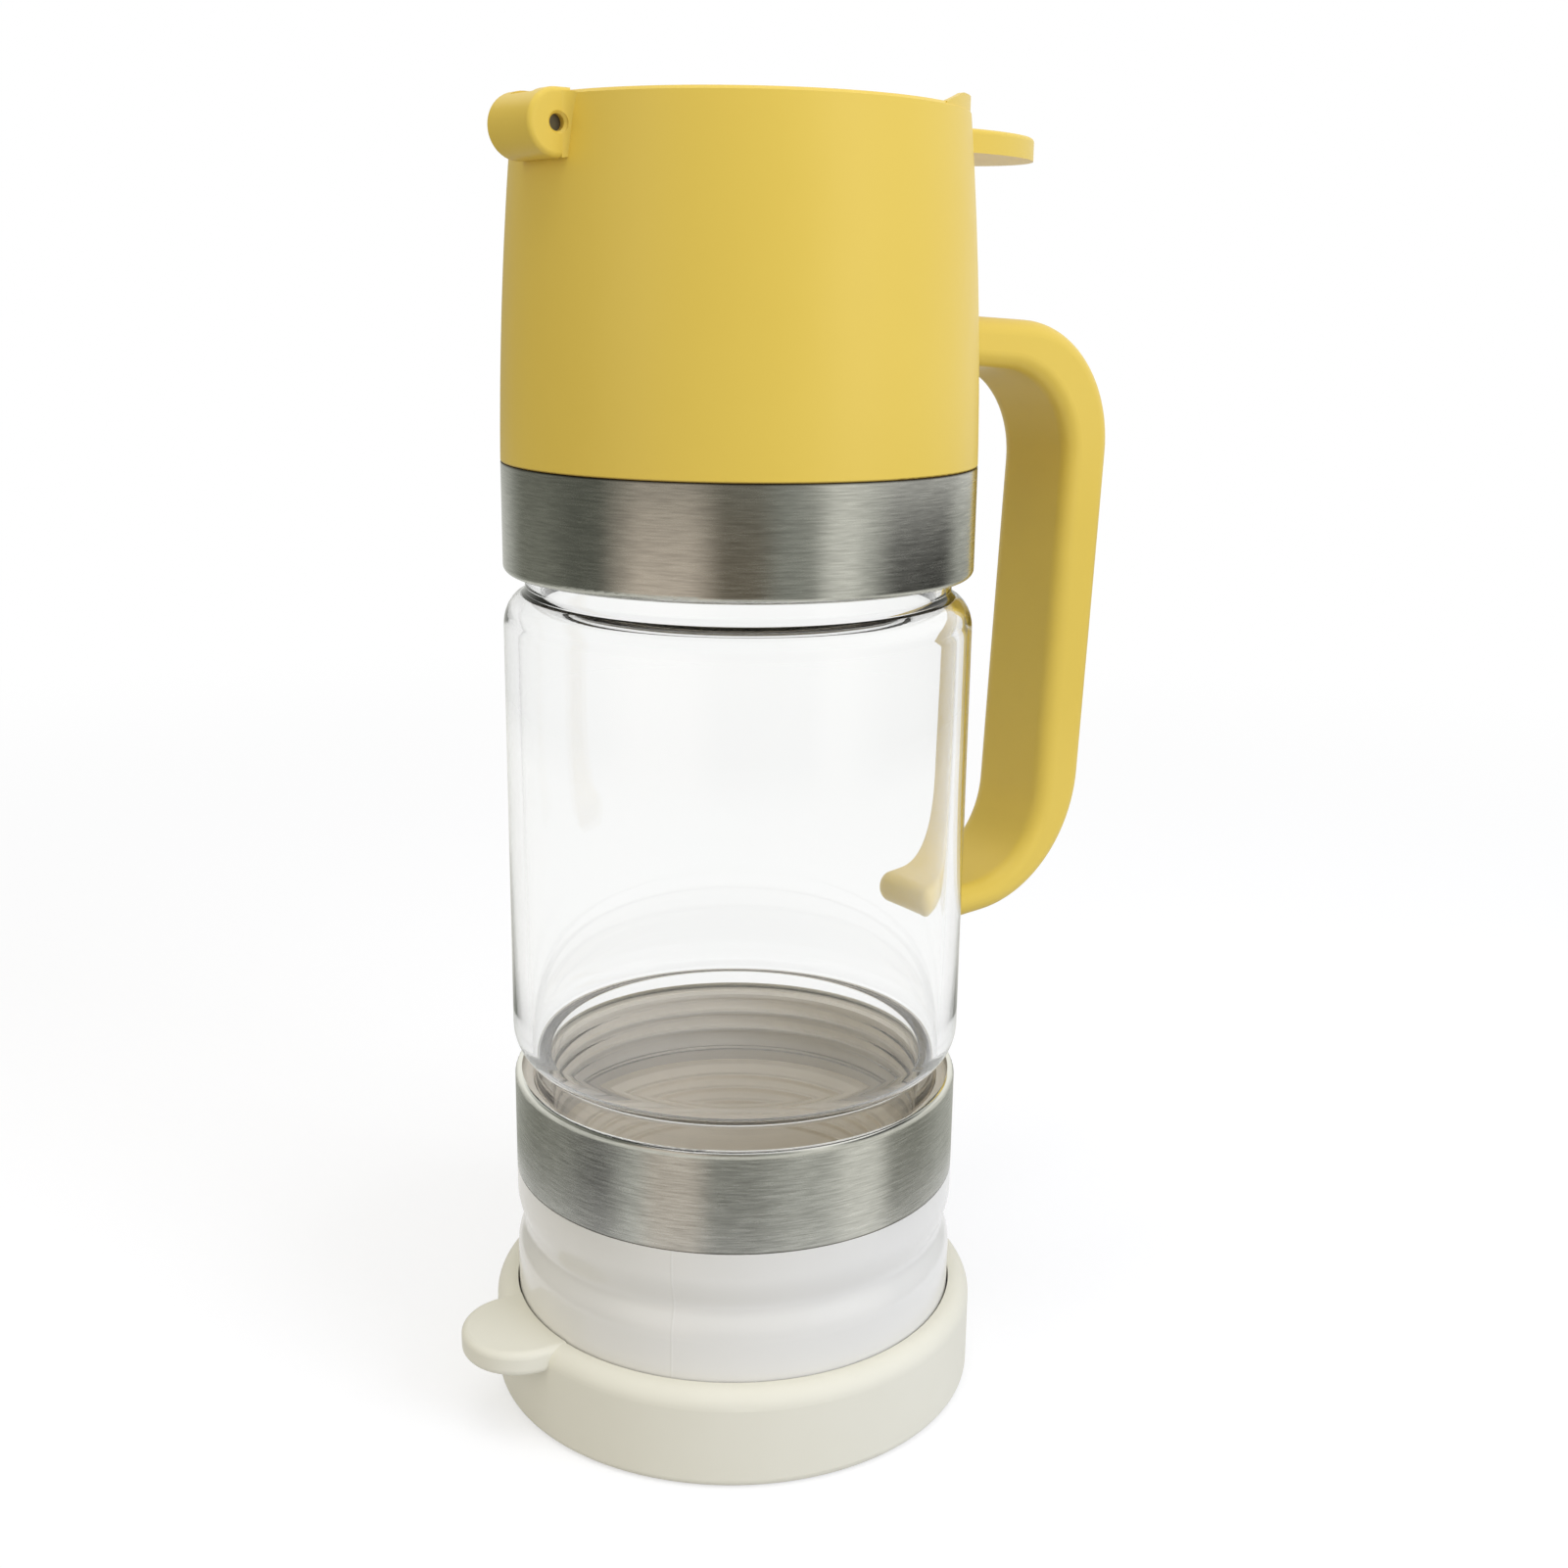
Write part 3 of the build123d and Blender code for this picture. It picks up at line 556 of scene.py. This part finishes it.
brushed_steel, tree, shader, place = finish(
    "brushed_steel", Metallic=1.0, Anisotropic=0.75, Anisotropic_Rotation=0.25
)
streaks = noise(tree, place, scale=130, detail=5.0, stretch=(1, 1, 22))
scratches = noise(tree, place, scale=300, detail=2.0, stretch=(1, 1, 14))
brushing = math_node(tree, "MULTIPLY", math_node(tree, "ADD", streaks, scratches), 0.5)
streaky = span_node(tree, brushing, streak_low, streak_high, 0, 1)
mottle(tree, shader, streaky, low=(0.48, 0.48, 0.45), high=(0.69, 0.69, 0.65))
drift(tree, shader, brushing, low=0.18, high=0.34)
bump(tree, shader, brushing, strength=0.2, distance=0.04 * mm)
band_z = split(tree, place)["Z"]
near_top = span_node(tree, band_z, lower_high.z - polished_highlit_edge, lower_high.z, 0, 1, smooth=True)
on_upper_band = math_node(tree, "GREATER_THAN", band_z, lower_high.z + polished_highlit_edge)
polished_and_highlit = math_node(tree, "SUBTRACT", near_top, on_upper_band)
smoother = span_node(tree, polished_and_highlit, 0, 1, 1, polished_roughness_share)
brushed = shader.inputs["Roughness"].links[0].from_socket
link(tree, math_node(tree, "MULTIPLY", brushed, smoother), shader.inputs["Roughness"])
# Painted shade: the lower band's bottom and the upper band's top are painted almost black, the shadow of
# the joints on the skirt and head
lower_edge_shade = span_node(tree, band_z, lower_low.z, lower_low.z + edge_shade_height, 1, 0, smooth=True)
upper_edge_shade = span_node(tree, band_z, upper_top - edge_shade_height, upper_top, 0, 1, smooth=True)
# The polished roll is smoother, and its colour is a painted highlight, near white along the edge
lay_tone(tree, shader, polished_and_highlit, polished_highlight_tone)
lay_tone(tree, shader, math_node(tree, "MAXIMUM", lower_edge_shade, upper_edge_shade), edge_shade_tone)
tangent = tree.nodes.new("ShaderNodeTangent")
tangent.direction_type = "RADIAL"
tangent.axis = "Z"
link(tree, tangent.outputs["Tangent"], shader.inputs["Tangent"])
dress(brushed_steel, "lower_band", "upper_band")

# Glass jar: clear glass blown in a mould, open at both ends, with a threaded neck at each end.
# The threads, lips and shoulders are fire-polished, so all their edges are soft.
jar_low, jar_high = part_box("glass_jar")
jar_radius = jar_high.x
jar_middle = (jar_low.z + jar_high.z) / 2
jar_wall = 2.6 * mm
jar_straight = 71.9 * mm
jar_shoulder = 6.0 * mm
neck_radius = 36.4 * mm
neck_bore = 33.8 * mm
upper_ledge_drop = 3.7 * mm
lower_ledge_drop = 4.9 * mm
ledge_round = 0.4 * mm
inner_round = 3.15 * mm
lip_round = 1.0 * mm
thread_first = 2.0 * mm
thread_pitch = 3.6 * mm
thread_height = 0.55 * mm
thread_half_width = 1.5 * mm
thread_round = thread_half_width / 2
thread_turns = 3
neck_inset = neck_radius - jar_radius + jar_shoulder
shoulder_drop = sqrt(jar_shoulder**2 - neck_inset**2)
shoulder_reach = (jar_radius - neck_radius) * jar_shoulder / shoulder_drop
# The outer rounding stops just short of the neck's corner
shoulder_share = 0.99


def jar_end(ledge_drop):
    """Corners of one end, from the outer wall round the lip to the inner wall, above the middle."""
    straight_end = jar_straight / 2
    lip = jar_middle - jar_low.z
    corners = [
        (jar_radius, straight_end + shoulder_reach, shoulder_share * shoulder_reach),
        (neck_radius, straight_end + shoulder_drop, lip_round),
    ]
    for turn in reversed(range(thread_turns)):
        crest = lip - thread_first - turn * thread_pitch
        corners += [
            (neck_radius, crest - thread_half_width, thread_round),
            (neck_radius + thread_height, crest, thread_round),
            (neck_radius, crest + thread_half_width, thread_round),
        ]
    return corners + [
        (neck_radius, lip, lip_round),
        (neck_bore, lip, lip_round),
        (neck_bore, straight_end + ledge_drop, ledge_round),
        (jar_radius - jar_wall, straight_end + ledge_drop, inner_round),
    ]


lower_end = jar_end(lower_ledge_drop)
upper_end = jar_end(upper_ledge_drop)
jar_corners = [(radius, jar_middle - height, reach) for radius, height, reach in lower_end]
jar_corners += [(radius, jar_middle + height, reach) for radius, height, reach in reversed(upper_end)]
jar_glass, tree, shader, place = finish("jar_glass", IOR=1.47, Transmission_Weight=1.0, Roughness=0.0)
shader.inputs["Base Color"].default_value = (0.982, 0.985, 0.980, 1)
waves = noise(tree, place, scale=26, detail=1.0, stretch=(1, 1, 0.4))
bump(tree, shader, waves, strength=0.10, distance=0.6 * mm)
jar = piece("jar", turned(jar_corners), "jar", "jar_glass", jar_glass, "glass_jar")
# The lamps shine through the clear wall on to the parts inside
jar.visible_shadow = False

# Head, handle and lid: satin yellow plastic with a fine moulded grain.
# The handle is screwed to the head from inside, and the lid swings on the hinge pin.
head_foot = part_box("head_shell")[0].z
seam_shade_height = 0.45 * mm
seam_shade_tone = (0.17, 0.09, 0.02)


def yellow_plastic(name):
    """The yellow plastic, with its tree, shader and Object coordinates."""
    material, tree, shader, place = finish(name, Specular_IOR_Level=0.5)
    mottle(
        tree, shader, noise(tree, place, scale=30), low=(0.780, 0.555, 0.078), high=(0.812, 0.590, 0.092)
    )
    drift(tree, shader, noise(tree, place, scale=110), low=0.34, high=0.43)
    bump(tree, shader, noise(tree, place, scale=2600, detail=2.0), strength=0.08, distance=0.05 * mm)
    return material, tree, shader, place


# Painted shade: the head's foot is painted dark brown along the seam on the band, where the joint lies
# in shadow
head_yellow, tree, shader, place = yellow_plastic("head_yellow")
head_z = split(tree, place)["Z"]
in_seam_shade = span_node(tree, head_z, head_foot, head_foot + seam_shade_height, 1, 0, smooth=True)
lay_tone(tree, shader, in_seam_shade, seam_shade_tone)
dress(head_yellow, "head_shell")
lid_yellow = yellow_plastic("lid_yellow")[0]
dress(lid_yellow, "handle", "lid")

# Hinge pin and handle screws: plain stainless steel, painted dark grey as painted shade for the pin's
# deep recess.
# The pin is pressed in and sits below both mouths of its bore.
pin_steel_shaded, tree, shader, place = finish("pin_steel_shaded", Metallic=1.0)
mottle(tree, shader, noise(tree, place, scale=300), low=(0.16, 0.16, 0.17), high=(0.26, 0.26, 0.26))
drift(tree, shader, noise(tree, place, scale=500), low=0.35, high=0.5)
dress(pin_steel_shaded, "hinge_pin", "handle_screws")
